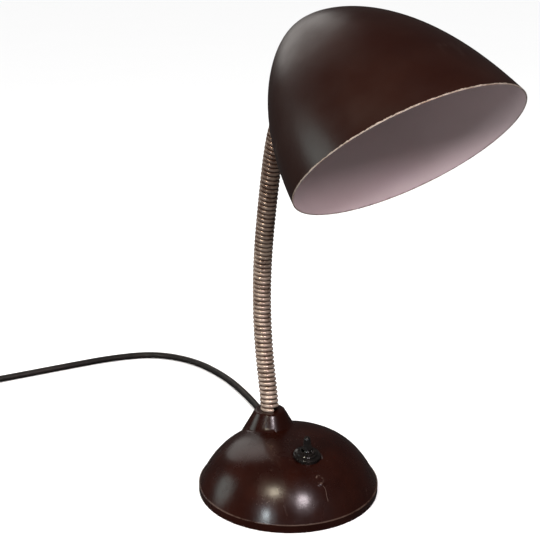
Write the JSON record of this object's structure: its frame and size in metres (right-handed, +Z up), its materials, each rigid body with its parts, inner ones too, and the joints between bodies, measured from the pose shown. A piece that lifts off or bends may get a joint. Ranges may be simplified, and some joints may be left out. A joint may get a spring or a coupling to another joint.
{
  "type": "darkroom safelight",
  "caption": "Gooseneck table safelight: moulded dome base with boss and toggle switch, ribbed flexible neck and egg-shaped metal shade with slanted mouth.",
  "frame": {"origin": "centre of the round foot, on the surface the lamp stands on", "axes": "+Z up; -Y is the front, where the switch is and the shade reaches out; +X is to the right of someone who faces the lamp's front; the cord leaves at the back, towards +Y and a little towards +X"},
  "size_m": [0.3818, 0.5511, 0.3965],
  "materials": {
    "bakelite": "gloss, moulded",
    "bakelite_black": "semi-gloss",
    "switch_black": "gloss",
    "felt": "matt felt",
    "steel": "zinc-plated",
    "cast_iron": "as cast",
    "screw_steel": "plated",
    "brass": "plain",
    "cord_rubber": "matt",
    "cord_sheath": "matt",
    "plug_plastic": "semi-gloss",
    "neck_lacquer": "worn lacquer over metal",
    "ferrule_metal": "lacquered",
    "shade_lacquer": "satin lacquer outside, white inside",
    "porcelain": "glazed porcelain",
    "bulb_metal": "plain",
    "bulb_black_glass": "vitrite",
    "bulb_ruby": "ruby, lacquered",
    "clear_glass": "clear",
    "filament": "tungsten"
  },
  "bodies": {
    "base": {"base_shell": "bakelite", "felt_pad": "felt", "base_plate": "steel", "ballast_weight": "cast_iron", "base_plate_screws": "screw_steel", "cord_strain_relief": "cord_rubber", "cord_tail": "cord_sheath", "cord_clamp": "bakelite_black", "cord_clamp_screws": "screw_steel", "switch_ring_nut": "switch_black", "switch_bushing": "switch_black", "switch_pin": "screw_steel", "switch_body": "bakelite_black", "switch_terminals": "brass", "neck_nipple": "steel", "neck_washer": "steel", "neck_lock_nut": "steel", "neck_link_01": "neck_lacquer", "cord": "cord_sheath", "cord_coil": "cord_sheath", "coil_tie": "cord_rubber", "plug_body": "plug_plastic", "plug_pins": "brass"},
    "lever": {"switch_lever": "switch_black"},
    "neck_02": {"neck_link_02": "neck_lacquer"},
    "neck_03": {"neck_link_03": "neck_lacquer"},
    "neck_04": {"neck_link_04": "neck_lacquer"},
    "neck_05": {"neck_link_05": "neck_lacquer"},
    "neck_06": {"neck_link_06": "neck_lacquer"},
    "neck_07": {"neck_link_07": "neck_lacquer"},
    "neck_08": {"neck_link_08": "neck_lacquer"},
    "neck_09": {"neck_link_09": "neck_lacquer"},
    "neck_10": {"neck_link_10": "neck_lacquer"},
    "neck_11": {"neck_link_11": "neck_lacquer"},
    "head": {"neck_link_12": "neck_lacquer", "head_ferrule": "ferrule_metal", "shade_washer": "steel", "shade_nut": "steel", "holder_cap": "bakelite_black", "holder_core": "porcelain", "holder_contact": "brass", "holder_screw_shell": "brass", "holder_skirt": "bakelite_black", "bulb_cap": "bulb_metal", "bulb_contact": "bulb_metal", "bulb_insulator": "bulb_black_glass", "bulb_glass": "bulb_ruby", "bulb_stem": "clear_glass", "bulb_filament": "filament"},
    "shade": {"shade_shell": "shade_lacquer"}
  },
  "joints": [
    {"name": "neck_bend_01", "type": "hinge", "parent": "base", "child": "neck_02", "pos_m": [0, 0.03973, 0.08251], "axis": [1, 0, 0], "range_deg": [-10, 10]},
    {"name": "neck_sway_02", "type": "hinge", "parent": "neck_02", "child": "neck_03", "pos_m": [0, 0.04541, 0.10813], "axis": [0, 0.9848, -0.1736], "range_deg": [-10, 10]},
    {"name": "neck_bend_03", "type": "hinge", "parent": "neck_03", "child": "neck_04", "pos_m": [0, 0.04861, 0.13417], "axis": [1, 0, 0], "range_deg": [-10, 10]},
    {"name": "neck_sway_04", "type": "hinge", "parent": "neck_04", "child": "neck_05", "pos_m": [0, 0.04918, 0.1604], "axis": [0, 0.9997, 0.0262], "range_deg": [-10, 10]},
    {"name": "neck_bend_05", "type": "hinge", "parent": "neck_05", "child": "neck_06", "pos_m": [0, 0.04735, 0.18658], "axis": [1, 0, 0], "range_deg": [-10, 10]},
    {"name": "neck_sway_06", "type": "hinge", "parent": "neck_06", "child": "neck_07", "pos_m": [0, 0.04347, 0.21254], "axis": [0, 0.9833, 0.1822], "range_deg": [-10, 10]},
    {"name": "neck_bend_07", "type": "hinge", "parent": "neck_07", "child": "neck_08", "pos_m": [0, 0.03824, 0.23826], "axis": [1, 0, 0], "range_deg": [-10, 10]},
    {"name": "neck_sway_08", "type": "hinge", "parent": "neck_08", "child": "neck_09", "pos_m": [0, 0.03233, 0.26384], "axis": [0, 0.9724, 0.2334], "range_deg": [-10, 10]},
    {"name": "neck_bend_09", "type": "hinge", "parent": "neck_09", "child": "neck_10", "pos_m": [0, 0.02455, 0.28889], "axis": [1, 0, 0], "range_deg": [-10, 10]},
    {"name": "neck_sway_10", "type": "hinge", "parent": "neck_10", "child": "neck_11", "pos_m": [0, 0.0112, 0.31134], "axis": [0, 0.7604, 0.6494], "range_deg": [-10, 10]},
    {"name": "neck_bend_11", "type": "hinge", "parent": "neck_11", "child": "head", "pos_m": [0, -0.00684, 0.32444], "axis": [1, 0, 0], "range_deg": [-10, 10]},
    {"name": "shade_turn", "type": "hinge", "parent": "head", "child": "shade", "pos_m": [0, -0.02084, 0.32982], "axis": [0, -0.9426, 0.3338], "range_deg": [-160, 160]},
    {"name": "switch_lever_tilt", "type": "hinge", "parent": "base", "child": "lever", "pos_m": [0, -0.03266, 0.04604], "axis": [1, 0, 0], "range_deg": [0, 24]}
  ],
  "couplings": [
    {"joint": "neck_bend_03", "follows": "neck_bend_01", "ratio": 1},
    {"joint": "neck_sway_04", "follows": "neck_sway_02", "ratio": 1},
    {"joint": "neck_bend_05", "follows": "neck_bend_01", "ratio": 1},
    {"joint": "neck_sway_06", "follows": "neck_sway_02", "ratio": 1},
    {"joint": "neck_bend_07", "follows": "neck_bend_01", "ratio": 1},
    {"joint": "neck_sway_08", "follows": "neck_sway_02", "ratio": 1},
    {"joint": "neck_bend_09", "follows": "neck_bend_01", "ratio": 1},
    {"joint": "neck_sway_10", "follows": "neck_sway_02", "ratio": 1},
    {"joint": "neck_bend_11", "follows": "neck_bend_01", "ratio": 1}
  ]
}
